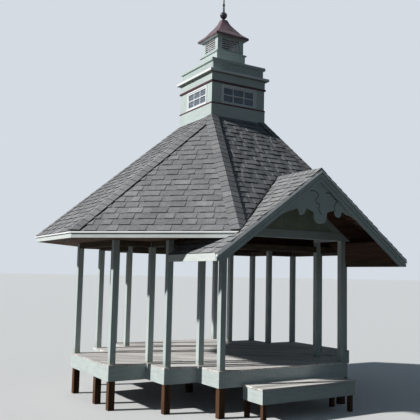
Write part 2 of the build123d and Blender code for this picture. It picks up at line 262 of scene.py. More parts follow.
def node(nodes, kind, inputs=(), **props):
    """Adds a shader node, sets its properties, and links or sets its inputs."""
    added = nodes.nodes.new(kind)
    for key, value in props.items():
        setattr(added, key, value)
    for key, value in dict(inputs).items():
        if isinstance(value, bpy.types.NodeSocket):
            nodes.links.new(value, added.inputs[key])
        else:
            added.inputs[key].default_value = value
    return added


def rgba(colour):
    """A colour with its fourth value, fully opaque."""
    return (*colour, 1.0)


def ramp(nodes, value, stops):
    """A colour ramp from places and grey levels or colours."""
    added = node(nodes, "ShaderNodeValToRGB", {"Fac": value})
    while len(added.color_ramp.elements) < len(stops):
        added.color_ramp.elements.new(0.5)
    for element, (place, colour) in zip(added.color_ramp.elements, stops):
        element.position = place
        element.color = rgba(colour) if isinstance(colour, tuple) else (colour, colour, colour, 1)
    return added.outputs["Color"]


def times(nodes, colour, factor):
    """One colour multiplied by another."""
    added = node(nodes, "ShaderNodeMix", data_type="RGBA", blend_type="MULTIPLY")
    added.inputs["Factor"].default_value = 1
    nodes.links.new(colour, added.inputs["A"])
    nodes.links.new(factor, added.inputs["B"])
    return added.outputs["Result"]


def noise(nodes, vector, scale, detail, rough, stretch=None):
    """Cloudy grey levels, stretched along an axis if asked."""
    if stretch:
        vector = node(nodes, "ShaderNodeMapping", {"Vector": vector, "Scale": stretch}).outputs["Vector"]
    values = {"Vector": vector, "Scale": scale, "Detail": detail, "Roughness": rough}
    return node(nodes, "ShaderNodeTexNoise", values).outputs["Fac"]


def spread(nodes, value, given, wanted):
    """A value moved from one range to another."""
    inputs = {"Value": value, "From Min": given[0], "From Max": given[1]}
    inputs.update({"To Min": wanted[0], "To Max": wanted[1]})
    return node(nodes, "ShaderNodeMapRange", inputs).outputs["Result"]


def relief(nodes, shader, height, distance, strength, under=None):
    """Bumps the surface by a height, over another bump if given."""
    inputs = {"Height": height, "Distance": distance, "Strength": strength}
    if under is not None:
        inputs["Normal"] = under
    added = node(nodes, "ShaderNodeBump", inputs)
    nodes.links.new(added.outputs["Normal"], shader.inputs["Normal"])
    return added.outputs["Normal"]


def material(name, **sockets):
    """A new material with its plain values set on the shader itself."""
    finish = bpy.data.materials.new(name)
    finish.use_nodes = True
    shader = finish.node_tree.nodes["Principled BSDF"]
    for key, value in sockets.items():
        shader.inputs[key.replace("_", " ")].default_value = value
    return finish, finish.node_tree, shader


def coordinates(nodes, laid_out):
    """Object coordinates, or the place on each separate board."""
    if laid_out:
        return node(nodes, "ShaderNodeAttribute", attribute_name="lay").outputs["Vector"]
    return node(nodes, "ShaderNodeTexCoord").outputs["Object"]


UPRIGHT, LEVEL = (1, 1, 0.12), (0.16, 0.16, 1)


def brushed_paint(name, colour, stretch, rough=(0.42, 0.6), wear=0.10, laid_out=False, grime=None):
    """Exterior paint on planed wood: faint grain through the film, brush marks, a little weathering."""
    finish, nodes, shader = material(name, Specular_IOR_Level=0.12)
    place = coordinates(nodes, laid_out)
    world = coordinates(nodes, False)
    grain = noise(nodes, place, 34, 5, 0.6, stretch)
    blotch = noise(nodes, world, 2.3, 3, 0.5)
    fine = noise(nodes, place, 260, 2, 0.5, stretch)
    dark = tuple(c * (1 - wear) for c in colour)
    light = tuple(min(1, c * (1 + wear * 0.5)) for c in colour)
    tint = ramp(nodes, grain, [(0.30, dark), (0.52, colour), (0.72, light)])
    tint = times(nodes, tint, ramp(nodes, blotch, [(0.35, 0.93), (0.65, 1.0)]))
    if grime:
        low, high = grime
        z = node(nodes, "ShaderNodeSeparateXYZ", {"Vector": world}).outputs["Z"]
        up = spread(nodes, z, (low, high), (0, 1))
        edge = node(nodes, "ShaderNodeMath", {0: up, 1: noise(nodes, world, 19, 4, 0.6)}, operation="ADD")
        tint = times(nodes, tint, ramp(nodes, edge.outputs[0], [(0.45, (0.62, 0.60, 0.52)), (1.0, 1.0)]))
    nodes.links.new(tint, shader.inputs["Base Color"])
    nodes.links.new(spread(nodes, grain, (0.3, 0.7), rough), shader.inputs["Roughness"])
    first = relief(nodes, shader, grain, 0.0012, 0.5)
    relief(nodes, shader, fine, 0.0003, 0.5, first)
    return finish


def boards_of_wood(name, dark, light, rough=(0.65, 0.85), edge_tone=0.55, laid_out=True, along="X"):
    """Bare or stained boards: long grain along each board, knots, and a tone of its own per board."""
    finish, nodes, shader = material(name, Specular_IOR_Level=0.05)
    place = coordinates(nodes, laid_out)
    long_way = {"X": (0.06, 1, 1), "Y": (1, 0.06, 1), "Z": (1, 1, 0.06), "level": (0.12, 0.12, 1)}[along]
    grain = noise(nodes, place, 70, 6, 0.62, long_way)
    rings = noise(nodes, place, 9, 3, 0.5, tuple(2.5 * c for c in long_way))
    tint = ramp(nodes, grain, [(0.28, dark), (0.68, light)])
    tint = times(nodes, tint, ramp(nodes, rings, [(0.36, 0.72), (0.60, 1.0)]))
    if laid_out:
        tone = node(nodes, "ShaderNodeAttribute", attribute_name="tone").outputs["Fac"]
        tint = times(nodes, tint, ramp(nodes, tone, [(0.0, 0.74), (1.0, 1.12)]))
        # Each board is darker towards its long edges.
        y = node(nodes, "ShaderNodeSeparateXYZ", {"Vector": place}).outputs["Y"]
        reach = node(nodes, "ShaderNodeMath", {0: y}, operation="ABSOLUTE").outputs[0]
        toward_edge = spread(nodes, reach, (BOARD_PITCH / 2 - 0.012, BOARD_PITCH / 2), (0, 1))
        tint = times(nodes, tint, ramp(nodes, toward_edge, [(0.0, 1.0), (1.0, edge_tone)]))
    nodes.links.new(tint, shader.inputs["Base Color"])
    nodes.links.new(spread(nodes, grain, (0.3, 0.7), rough[::-1]), shader.inputs["Roughness"])
    relief(nodes, shader, grain, 0.0015, 0.7)
    return finish


def mineral_granules(name, dark, mid, light):
    """The face of a shingle: granules, greys that change from tab to tab, and a dark band under the next
    butt, partly printed and partly painted shade.
    """
    finish, nodes, shader = material(name, Roughness=0.93, Specular_IOR_Level=0.0)
    place = coordinates(nodes, True)
    tone = node(nodes, "ShaderNodeAttribute", attribute_name="tone").outputs["Fac"]
    tint = ramp(nodes, tone, [(0.0, dark), (0.5, mid), (1.0, light)])
    cells = node(nodes, "ShaderNodeTexVoronoi", {"Vector": place, "Scale": 620.0}).outputs["Color"]
    grit = node(nodes, "ShaderNodeSeparateColor", {"Color": cells}).outputs[0]
    tint = times(nodes, tint, ramp(nodes, grit, [(0.0, 0.62), (0.55, 1.0), (1.0, 1.45)]))
    tint = times(nodes, tint, ramp(nodes, noise(nodes, place, 14, 3, 0.6), [(0.3, 0.84), (0.7, 1.12)]))
    world = coordinates(nodes, False)
    tint = times(nodes, tint, ramp(nodes, noise(nodes, world, 0.8, 3, 0.5), [(0.35, 0.92), (0.65, 1.05)]))
    # The top 20 mm of each exposure darkens: the printed shadow band of laminated shingles, deepened as
    # painted shade under the next course's butt.
    up = node(nodes, "ShaderNodeSeparateXYZ", {"Vector": place}).outputs["Y"]
    band = spread(nodes, up, (COURSE - 0.020, COURSE - 0.002), (0, 1))
    tint = times(nodes, tint, ramp(nodes, band, [(0.0, 1.0), (1.0, 0.42)]))
    nodes.links.new(tint, shader.inputs["Base Color"])
    relief(nodes, shader, grit, 0.0012, 0.8)
    return finish


def aged_metal(name, colour, spot, metallic, rough):
    """Coated or cast metal with faint mottling."""
    finish, nodes, shader = material(name, Metallic=metallic, Specular_IOR_Level=0.15 + metallic)
    place = coordinates(nodes, False)
    cloud = noise(nodes, place, 7, 5, 0.6)
    nodes.links.new(ramp(nodes, cloud, [(0.32, spot), (0.62, colour)]), shader.inputs["Base Color"])
    nodes.links.new(spread(nodes, cloud, (0.3, 0.7), rough[::-1]), shader.inputs["Roughness"])
    relief(nodes, shader, noise(nodes, place, 120, 3, 0.5), 0.0004, 0.6)
    return finish


SAGE = (0.580, 0.665, 0.655)
sage_upright = brushed_paint("sage_paint_upright", SAGE, UPRIGHT)
sage_posts = brushed_paint("sage_paint_posts", SAGE, UPRIGHT, grime=(DECK - 0.03, DECK + 0.30))
sage_level = brushed_paint("sage_paint_level", SAGE, LEVEL)
sage_skirt = brushed_paint("sage_paint_skirt", (0.610, 0.690, 0.680), LEVEL, wear=0.14)
sage_beads = brushed_paint("sage_paint_beadboard", SAGE, (0.12, 1, 1), laid_out=True)
# A darker, greener sage for the pediment's beadboard: painted shade with a green cast.
sage_pediment_shaded = brushed_paint("sage_paint_pediment_shaded", (0.500, 0.580, 0.480), (0.12, 1, 1), laid_out=True)
# A darker sage for undersides away from the key light: painted shade.
sage_shaded = brushed_paint("sage_paint_painted_shade", (0.260, 0.285, 0.240), LEVEL, wear=0.2)
# A paler copy of the sage paint for the fascias: painted light, standing in for the sun on them.
fascia_paint_painted_light = brushed_paint("fascia_paint_painted_light", (0.750, 0.810, 0.800), LEVEL)
pale_trim = brushed_paint("pale_paint_trim", (0.90, 0.92, 0.93), LEVEL, (0.35, 0.5), 0.04)
pale_sash = brushed_paint("pale_paint_sash", (0.89, 0.92, 0.94), (1, 1, 1), (0.35, 0.5), 0.04)
maroon = brushed_paint("maroon_paint", (0.115, 0.052, 0.068), LEVEL, (0.4, 0.55), 0.15)
deck_wood = boards_of_wood("weathered_deck", (0.80, 0.775, 0.76), (0.99, 0.97, 0.95), (0.75, 0.9), 0.8)
step_wood = boards_of_wood("weathered_step", (0.80, 0.775, 0.75), (0.99, 0.97, 0.94), (0.75, 0.9), 0.8)
brown_boards = boards_of_wood("brown_boards", (0.088, 0.050, 0.036), (0.200, 0.115, 0.082), (0.6, 0.8))
# A dark olive-brown for the ring beam: a stain, made darker as painted shade under the roof.
brown_beams_shaded = boards_of_wood(
    "brown_beams_shaded", (0.080, 0.064, 0.048), (0.170, 0.138, 0.104), laid_out=False, along="level"
)
brown_posts = boards_of_wood(
    "brown_posts", (0.075, 0.038, 0.022), (0.19, 0.105, 0.065), (0.7, 0.85), laid_out=False, along="Z"
)
timber = boards_of_wood("rough_joists", (0.09, 0.055, 0.035), (0.21, 0.14, 0.09), laid_out=False, along="Y")
shingle_face = mineral_granules(
    "shingle_granules", (0.258, 0.268, 0.279), (0.315, 0.325, 0.338), (0.387, 0.395, 0.404)
)
# Near-black for the shingles' butts and cut sides: the dark asphalt edge, darkened further as painted shade
# under each butt.
shingle_edge_shade, edge_nodes, edge_shader = material("shingle_cut_edge_and_shade", Roughness=0.95, Specular_IOR_Level=0.0)
edge_grit = noise(edge_nodes, coordinates(edge_nodes, False), 400, 2, 0.5)
edge_tint = ramp(edge_nodes, edge_grit, [(0.3, 0.040), (0.7, 0.070)])
edge_nodes.links.new(edge_tint, edge_shader.inputs["Base Color"])
metal_roof = aged_metal("maroon_metal", (0.205, 0.140, 0.160), (0.145, 0.094, 0.110), 0.0, (0.42, 0.6))
bronze = aged_metal("dark_bronze", (0.034, 0.034, 0.040), (0.020, 0.020, 0.026), 0.2, (0.24, 0.36))
# Near-black metal for the flashing, and also painted shade in the valleys, the rake boards' gaps and the
# ornament's grooves.
flashing_and_shade = aged_metal("dark_flashing_and_painted_shade", (0.026, 0.027, 0.029), (0.017, 0.018, 0.019), 0.0, (0.6, 0.8))

glass, glass_nodes, glass_shader = material(
    "window_pane",
    Base_Color=rgba((0.30, 0.355, 0.43)), IOR=1.2, Transmission_Weight=0.5, Specular_IOR_Level=0.3,
)
dust = noise(glass_nodes, coordinates(glass_nodes, False), 22, 4, 0.6)
veil = spread(glass_nodes, dust, (0.35, 0.75), (0.02, 0.10))
glass_nodes.links.new(veil, glass_shader.inputs["Roughness"])


def shown(piece, finish, slot, *stands_for):
    """Gives a piece its finish and its body, and hides the imported parts that it stands for. The slot is
    not used.
    """
    if finish is not None:
        piece.data.materials.clear()
        piece.data.materials.append(finish)
    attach(piece, "root")
    if stands_for:
        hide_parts(*stands_for)
    return piece


def dressed(part, name, finish, slot, width, smooth=None):
    """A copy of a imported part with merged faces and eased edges, shown in its place."""
    piece = twin(frame["nodes"][part])
    piece.name = piece.data.name = name
    piece.parent = None
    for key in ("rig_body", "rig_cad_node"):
        del piece[key]
    edit(piece)
    bpy.ops.mesh.customdata_custom_splitnormals_clear()
    bpy.ops.mesh.select_all(action="SELECT")
    bpy.ops.mesh.remove_doubles(threshold=0.00005)
    if smooth is None:
        bpy.ops.mesh.dissolve_limited(angle_limit=math.radians(0.5))
    done()
    only(piece)
    bpy.ops.object.shade_flat()
    if width:
        eased(piece, width)
    if smooth is not None:
        only(piece)
        bpy.ops.object.shade_smooth_by_angle(angle=math.radians(smooth))
    return shown(piece, finish, slot, part)


# Roof slopes

# Corners of the eave and of the cupola, then the main faces, each from the corner where it starts
corners = [
    (-EAVE_Y_END, -EAVE_Y), (EAVE_Y_END, -EAVE_Y), (EAVE_X, -EAVE_X_END), (EAVE_X, EAVE_X_END),
    (EAVE_Y_END, EAVE_Y), (-EAVE_Y_END, EAVE_Y), (-EAVE_X, EAVE_X_END), (-EAVE_X, -EAVE_X_END),
]
tops = [(-CUPOLA_X, -CUPOLA_Y), (CUPOLA_X, -CUPOLA_Y), (CUPOLA_X, CUPOLA_Y), (-CUPOLA_X, CUPOLA_Y)]
faces_of = ["front", "front_right", "right", "back_right", "back", "back_left", "left", "front_left"]


class Slope:
    """One roof face: its frame, its outline in that frame, and the planes round it."""

    def __init__(self, a, b, left, right):
        self.place = placed(a, b - a, left - a - (b - a) * ((left - a).dot(b - a) / (b - a).length_squared))
        inverse = self.place.inverted()
        self.width = (b - a).length
        self.left, self.right = inverse @ left, inverse @ right
        self.rise = self.left.y
        self.out = self.place.to_3x3() @ Vector((0, 0, 1))
        outward = Vector((self.out.x, self.out.y, 0)).normalized()
        self.eave = (a, outward)
        self.top = (left, -outward)
        self.sides = []
        for foot, head, turn in ((a, left, 1), (b, right, -1)):
            run = head - foot
            self.sides.append((foot, Vector((-run.y, run.x, 0)).normalized() * turn))

    def span(self, y):
        """The slope's two ends at a distance up from its eave."""
        share = min(1, max(0, y / self.rise))
        return self.left.x * share, self.width + (self.right.x - self.width) * share


def main_slope(k):
    """The k-th main face, counted from the entrance against the clock."""
    a, b = [Vector((*corners[i % 8], EAVE_Z)) for i in (k, k + 1)]
    left, right = [Vector((*tops[i // 2 % 4], ROOF_Z)) for i in (k + 1, k + 2)]
    return Slope(a, b, left, right)


slopes = [main_slope(k) for k in range(8)]


def gable_side(side):
    """The entrance gable's left or right slope."""
    low = RIDGE_Z - GABLE_PITCH * GABLE_X
    back, front = Vector((side * GABLE_X, -GABLE_BACK, low)), Vector((side * GABLE_X, -GABLE_Y, low))
    back_top, front_top = Vector((0, -GABLE_BACK, RIDGE_Z)), Vector((0, -GABLE_Y, RIDGE_Z))
    if side < 0:
        return Slope(back, front, back_top, front_top)
    return Slope(front, back, front_top, back_top)


gable_slopes = {side: gable_side(side) for side in (-1, 1)}


def shifted(plane, distance):
    """A plane moved along its normal."""
    point, normal = plane
    return point + normal * distance, normal


def main_zones(k, lip):
    """The planes that trim a main face's covering: hips, eave, cupola, and valleys on the entrance face."""
    slope = slopes[k]
    planes = [*slope.sides, shifted(slope.eave, lip)]
    if k % 2 == 0:
        planes.append(slope.top)
    if k != 0:
        return [planes]
    zones = []
    for side in (-1, 1):
        middle = (Vector((0, 0, 0)), Vector((-side, 0, 0)))
        zones.append([*planes, middle, (gable_slopes[side].place.translation, -gable_slopes[side].out)])
    return zones


def gable_zones(side, lip):
    """The planes that trim a gable slope's covering, above and below the main eave."""
    slope = gable_slopes[side]
    split = EAVE_Z - SKIN
    ends = [
        (Vector((0, -GABLE_Y - RAKE_LIP, 0)), Vector((0, -1, 0))),
        (Vector((0, 0, 0)), Vector((-side, 0, 0))),
        shifted(slope.eave, lip),
    ]
    down, up, back = Vector((0, 0, -1)), Vector((0, 0, 1)), Vector((0, 1, 0))
    seam = Vector((0, 0, split))
    above = [*ends, (seam, down), (slopes[0].place.translation, -slopes[0].out)]
    below = [*ends, (seam, up), (Vector((0, -GABLE_BACK, 0)), back)]
    return [above, below]


# Shingles


def wedge(name, butt, head):
    """A shingle blank one metre wide: thick at its butt, thin at its head, its butt face near-black, the
    dark cut edge darkened further as painted shade.
    """
    length = COURSE + HEAD_LAP
    piece = cube(name, (0, 0, 0), (1, length, butt))
    edit(piece)
    pick(lambda spot, facing: spot.y > length - 0.001 and spot.z > 0.0005, "VERT")
    bpy.ops.transform.translate(value=(0, 0, head - butt))
    piece.data.materials.append(shingle_face)
    pick(lambda spot, facing: facing.y < -0.7)
    coat(shingle_edge_shade)
    done()
    return piece


base_strip = wedge("shingle_base", 0.006, 0.001)
thick_tab = wedge("shingle_tab", 0.0150, 0.0025)


def shingled(name, slope, zones, seed, lighter=0.0):
    """Courses of laminated shingles up a slope: a thin strip, and thicker tabs of uneven width upon it."""
    chance = random.Random(seed)
    parts = []
    seat = -SHINGLE * slope.out.z
    for i in range(int(slope.rise / COURSE) + 1):
        y = i * COURSE - EAVE_LIP
        low, high = slope.span(y)
        low, high = low - SHINGLE_SPARE, high + SHINGLE_SPARE
        at = slope.place @ Matrix.Translation((low, y, seat))
        shift = (chance.uniform(0, 40), 0, 0)
        parts.append(laid(base_strip, at, high - low, chance.uniform(0.2, 0.5) + lighter, shift))
        x = low + chance.uniform(-0.1, 0.12)
        while x < high:
            width = chance.uniform(0.12, 0.30)
            at = slope.place @ Matrix.Translation((x, y, seat))
            shift = (chance.uniform(0, 40), 0, 0)
            parts.append(laid(thick_tab, at, width, chance.random() + lighter, shift))
            x += width + chance.uniform(0.07, 0.22)
    return zoned(joined(name, parts), zones)


covers = [
    shingled(f"shingles_{faces_of[k]}", slopes[k], main_zones(k, EAVE_LIP), 11 + k) for k in range(8)
]
shown(joined("main_roof_shingles", covers), None, "grey_shingles", "roof_shingles")
covers = [
    shingled(f"gable_{side + 1}", slope, gable_zones(side, EAVE_LIP), 31 + side, 0.3)
    for side, slope in gable_slopes.items()
]
gable_cover = joined("gable_roof_shingles", covers)
edit(gable_cover)
# The gable shingles' front ends take the near-black edge finish: painted shade along the top of the rake.
pick(lambda spot, facing: facing.y < -0.7 and spot.y < 0.002 - GABLE_Y)
coat(shingle_edge_shade)
done()
shown(gable_cover, None, "grey_shingles", "gable_shingles")

cap_blank = wedge("cap_blank", 0.011, 0.006)
edit(cap_blank)
# The caps' side edges take the near-black edge finish: painted shade beside each cap.
pick(lambda spot, facing: abs(facing.x) > 0.7)
coat(shingle_edge_shade)
bpy.ops.mesh.select_all(action="SELECT")
bpy.ops.mesh.bisect(plane_co=(0.5, 0, 0), plane_no=(1, 0, 0))
done()


def capped(name, foot, head, left_out, right_out, wing, lift, planes, seed):
    """Folded cap shingles up a hip or ridge, each lapping the one below it."""
    chance = random.Random(seed)
    along = (head - foot).normalized()
    left, right = left_out.cross(along).normalized(), along.cross(right_out).normalized()
    if left.z > 0 and right.z > 0:
        left, right = -left, -right
    middle = (left_out + right_out).normalized()
    middle /= middle.dot(left_out)
    parts = []
    for i in range(int((head - foot).length / COURSE) + 1):
        tone = chance.uniform(0.2, 0.9)
        piece = laid(cap_blank, Matrix.Identity(4), 1, tone, (chance.uniform(0, 40), 0, 0))
        start = foot + along * (i * COURSE)
        for v in piece.data.vertices:
            x, y, z = (v.co.x - 0.5) * 2 * wing, v.co.y, v.co.z + lift
            side, out = (left, left_out) if x < 0 else (right, right_out)
            if abs(x) < 0.001:
                v.co = start + along * y + middle * (z + 0.004)
            else:
                v.co = start + along * y + side * abs(x) + out * z
        parts.append(piece)
    return clipped(joined(name, parts), planes)


# The caps of the four hips at the front corners stand up from the shingles, the others sit into them
CAP_WING, CAP_LIP = 0.135, 0.010
PROUD, SUNK, RIDGE_SUNK = 0.007, -0.006, -0.007
RIDGE_CAPS_END = 1.95
caps = []
for k in range(8):
    before, after = slopes[k - 1], slopes[k]
    foot, head = after.sides[0][0], Vector((*tops[(k + 1) // 2 % 4], ROOF_Z))
    edges = [shifted(before.eave, CAP_LIP), shifted(after.eave, CAP_LIP), before.sides[0], after.sides[1]]
    edges.append(before.top if k % 2 else after.top)
    corner = after if k % 2 else before
    middle = Vector((head.x, head.y, 0)) - sum((point for point, _ in corner.sides), Vector()) / 2
    across = Vector((-middle.y, middle.x, 0)).normalized()
    if across.dot(foot - head) > 0:
        across = -across
    edges.append((head, across))
    lift = PROUD if k in (7, 0, 1, 2) else SUNK
    caps.append(capped(f"hip_{k}", foot, head, before.out, after.out, CAP_WING, lift, edges, 50 + k))
ridge_foot, ridge_head = Vector((0, -GABLE_Y - RAKE_LIP, RIDGE_Z)), Vector((0, -RIDGE_CAPS_END, RIDGE_Z))
ends = [(slopes[0].place.translation, -slopes[0].out)]
outs = (gable_slopes[-1].out, gable_slopes[1].out)
caps.append(capped("ridge", ridge_foot, ridge_head, *outs, CAP_WING, RIDGE_SUNK, ends, 70))
shown(joined("hip_and_ridge_caps", caps), None, "grey_shingles")
for piece in (base_strip, thick_tab, cap_blank):
    bpy.data.objects.remove(piece)

# Boards under the roofs


def plank(name, width, thick, ease, under=False):
    """A board blank one metre long, its upper face at z = 0, its long edges eased above or below."""
    piece = cube(name, (0, -width / 2, -thick), (1, width / 2, 0))
    level = -thick if under else 0
    edit(piece)
    pick(lambda spot, facing: abs(spot.z - level) < 0.0005 and abs(spot.y) > width / 2 - 0.0005, "EDGE")
    bpy.ops.mesh.bevel(offset=ease, segments=1, affect="EDGES")
    done()
    return piece


def boarded(name, place, blank, spans, zones, seed, longest=None):
    """Boards side by side: spans gives each row's distance across and its two ends."""
    chance = random.Random(seed)
    parts = []
    for across, low, high in spans:
        x = low
        while x < high:
            length = high - x
            if longest and length > longest:
                length = chance.uniform(0.5, 1) * longest
            at = place @ Matrix.Translation((x, across, 0))
            shift = (chance.uniform(0, 30), 0, chance.uniform(0, 30))
            parts.append(laid(blank, at, length, chance.random(), shift))
            x += length + END_GAP
    return zoned(joined(name, parts), zones)


roof_board = plank("roof_board", 0.139, 0.021, 0.004, under=True)


def roof_rows(slope):
    """The rows of boards up a slope, each a little longer than the slope is there."""
    rows = []
    for i in range(int(slope.rise / BOARD_PITCH) + 1):
        low, high = slope.span(i * BOARD_PITCH)
        rows.append((i * BOARD_PITCH + BOARD_PITCH / 2, low - BOARD_SPARE, high + BOARD_SPARE))
    return rows


def board_seat(slope):
    """The plane under a slope's shingles, where its boards lie."""
    return slope.place @ Matrix.Translation((0, 0, -SHINGLE * slope.out.z - 0.0002))


under = []
for k in range(8):
    slope = slopes[k]
    seat, rows, zones = board_seat(slope), roof_rows(slope), main_zones(k, 0)
    under.append(boarded(f"boards_{faces_of[k]}", seat, roof_board, rows, zones, 80 + k))
shown(joined("main_roof_boards", under), brown_boards, "brown_boards", "roof_sheathing")
under = []
for side in (-1, 1):
    slope = gable_slopes[side]
    above, below = gable_zones(side, 0)
    above[0] = (Vector((0, -GABLE_Y, 0)), Vector((0, -1, 0)))
    fascia_front = Vector((0, ORNAMENT_Y, 0))
    behind = [(fascia_front, Vector((0, -1, 0))), *below[1:], shifted(slope.eave, -0.022)]
    ahead_of = [above[0], *below[1:], (fascia_front, Vector((0, 1, 0)))]
    zones = [above, behind, ahead_of]
    seat, rows = board_seat(slope), roof_rows(slope)
    under.append(boarded(f"gable_boards_{side + 1}", seat, roof_board, rows, zones, 90 + side))
shown(joined("gable_roof_boards", under), brown_boards, "brown_boards", "gable_sheathing")

# Soffit boards, parallel to each eave

# The fascia's back from the eave, the beams' outer face from the deck's edge, and a place past it all
FASCIA_BACK, DECK_EDGE_IN, BEYOND, SOFFIT_ROWS = 0.026, 0.035, 9, 13
deck_corners = [(ARM_X, ARM_X_HALF), (BODY_X, BODY_Y), (ARM_Y_HALF, ARM_Y)]
soffit_board = plank("soffit_board", 0.119, 0.012, 0.003, under=True)
under = []
for k in range(1, 8):
    slope = slopes[k]
    a, b = slope.eave[0], slope.eave[0] + slope.place.to_3x3() @ Vector((slope.width, 0, 0))
    outward = slope.eave[1]
    seat = placed((a.x, a.y, SOFFIT_Z), b - a, -outward)
    first_row = FASCIA_BACK + SOFFIT_PITCH / 2
    row_end = slope.width + SOFFIT_SPARE
    rows = [(first_row + SOFFIT_PITCH * i, -SOFFIT_SPARE, row_end) for i in range(SOFFIT_ROWS)]
    field = [*slope.sides, shifted(slope.eave, -FASCIA_BACK)]
    side_x, side_y = (1 if outward.x > 0 else -1), (1 if outward.y > 0 else -1)
    bounds_x = [BEYOND] + [x - DECK_EDGE_IN for x, _ in deck_corners] + [0]
    bounds_y = [0] + [y - DECK_EDGE_IN for _, y in deck_corners]
    toward_x, toward_y = Vector((side_x, 0, 0)), Vector((0, side_y, 0))
    zones = []
    if k == 4:
        zones = [[*field, (toward_y * bounds_y[3], -toward_y)]]
    elif k % 2 == 0:
        zones = [[*field, (toward_x * bounds_x[1], -toward_x)]]
    else:
        for i in range(2 if k in (1, 7) else 4):
            box = [(toward_x * bounds_x[i], toward_x), (toward_x * bounds_x[i + 1], -toward_x)]
            if bounds_y[i]:
                box.append((toward_y * bounds_y[i], -toward_y))
            zones.append([*field, *box])
    under.append(boarded(f"soffit_{k}", seat, soffit_board, rows, zones, 100 + k, 2.6))
shown(joined("soffit_boards", under), brown_boards, "brown_boards", "eave_soffit")

# Deck and step

deck_board = plank("deck_board", 0.134, 0.030, 0.004)
DECK_REACH = 3.5
rows = [(BOARD_PITCH * i - DECK_REACH, -DECK_REACH, DECK_REACH) for i in range(51)]


def box_zone(left, right, front, back):
    """The four planes round an upright box."""
    return [
        (Vector((left, 0, 0)), Vector((-1, 0, 0))), (Vector((right, 0, 0)), Vector((1, 0, 0))),
        (Vector((0, front, 0)), Vector((0, -1, 0))), (Vector((0, back, 0)), Vector((0, 1, 0))),
    ]


deck_zones = [
    box_zone(-BODY_X, BODY_X, -BODY_Y, BODY_Y),
    box_zone(-ARM_X, -BODY_X, -ARM_X_HALF, ARM_X_HALF),
    box_zone(BODY_X, ARM_X, -ARM_X_HALF, ARM_X_HALF),
    box_zone(-ARM_Y_HALF, ARM_Y_HALF, BODY_Y, ARM_Y),
    box_zone(-ARM_Y_HALF, ARM_Y_HALF, -ARM_Y, -BODY_Y),
]
slanting = placed((0, 0, DECK), (1, -1, 0), (1, 1, 0))
boards = boarded("deck_boards", slanting, deck_board, rows, deck_zones, 120, 3.6)
shown(boards, deck_wood, "deck_timber", "deck_floor")

tread_low, tread_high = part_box("step_tread")
tread_board = plank("tread_board", 0.137, 0.028, 0.004)
level = placed((0, tread_low.y, tread_high.z), (1, 0, 0), (0, 1, 0))
first_row = 0.0695
rows = [(first_row + TREAD_PITCH * i, tread_low.x, tread_high.x) for i in range(4)]
tread_zone = box_zone(tread_low.x, tread_high.x, tread_low.y, tread_high.y)
boards = boarded("step_tread_boards", level, tread_board, rows, [tread_zone], 130)
shown(boards, step_wood, "deck_timber", "step_tread")

# Beadboard

bead = plank("bead", 0.0385, 0.014, 0.0065)
wall = placed((0, PEDIMENT_Y, PEDIMENT_Z), (0, 0, 1), (-1, 0, 0))
count = round(2 * PEDIMENT_HALF / BEAD_PITCH) + 1
rows = [(BEAD_PITCH * i - PEDIMENT_HALF, 0, 1.0) for i in range(count)]
rake_planes = []
for side in (-1, 1):
    slope = gable_slopes[side]
    rake_planes.append((slope.place.translation - Vector((0, 0, SKIN)), slope.out))
panel = boarded("pediment_beads", wall, bead, rows, [rake_planes], 140)
shown(panel, sage_pediment_shaded, "sage_paint", "pediment_beadboard")

lining = plank("lining", 0.0440, 0.0075, 0.0055)
parts = []
for turn, (reach, width) in enumerate(2 * [(PARAPET_Y, PARAPET_X), (PARAPET_X, PARAPET_Y)]):
    count = int(2 * width / LINING_PITCH)
    spacing = 2 * width / count
    side_wall = quarter_turn(turn) @ placed((0, -reach - 0.006, PARAPET_LOW), (0, 0, 1), (-1, 0, 0))
    rows = [(-width + spacing * (i + 0.5), 0, PARAPET_HIGH - PARAPET_LOW) for i in range(count)]
    parts.append(boarded(f"parapet_{turn}", side_wall, lining, rows, [[]], 150 + turn))
shown(joined("parapet_beadboard", parts), sage_beads, "sage_paint")
for piece in (roof_board, soffit_board, deck_board, tread_board, bead, lining):
    bpy.data.objects.remove(piece)

# Window sashes


def sash(name):
    """A glazed frame of three by two lights in the front wall."""
    bpy.ops.object.select_all(action="DESELECT")
    bpy.ops.mesh.primitive_grid_add(x_subdivisions=3, y_subdivisions=2, size=1)
    piece = bpy.context.object
    piece.name = name
    edit(piece)
    bpy.ops.mesh.select_all(action="SELECT")
    bpy.ops.transform.resize(value=(2 * PANE_X, PANE_HIGH - PANE_LOW, 1))
    bpy.ops.mesh.inset(thickness=SASH_RAIL, depth=0, use_boundary=True)
    bpy.ops.mesh.inset(thickness=SASH_BAR, depth=0, use_individual=True)
    bpy.ops.mesh.delete(type="FACE")
    done()
    piece.data.transform(placed((0, -CUPOLA_Y + 0.007, (PANE_LOW + PANE_HIGH) / 2), (1, 0, 0), (0, 0, 1)))
    modified(piece, "SOLIDIFY", thickness=SASH_THICK, offset=0)
    return eased(piece, 0.002)


sashes = []
first = sash("sash")
for turn in range(4):
    piece = twin(first)
    turned = quarter_turn(turn)
    if turn % 2:
        inward = Matrix.Translation((0, CUPOLA_Y - CUPOLA_X, 0))
        turned = Matrix.Translation((0, SIDE_PANE_Y, 0)) @ turned @ inward
    piece.data.transform(turned)
    sashes.append(piece)
bpy.data.objects.remove(first)
shown(joined("window_sashes", sashes), pale_sash, "pale_paint")

# Lantern roof: one curved square spire


def between(a, b, c, d, share):
    """A place on the smooth curve from b to c, with a and d as the neighbours."""
    square, cubic = 2 * a - 5 * b + 4 * c - d, 3 * b - a - 3 * c + d
    return 0.5 * (2 * b + (c - a) * share + square * share * share + cubic * share ** 3)


def smooth_profile(points, steps):
    """More points between the given ones, on a smooth curve through them."""
    padded = [points[0], *points, points[-1]]
    out = []
    for i in range(len(points) - 1):
        for k in range(steps):
            out.append(tuple(between(*values, k / steps) for values in zip(*padded[i:i + 4])))
    out.append(points[-1])
    return out


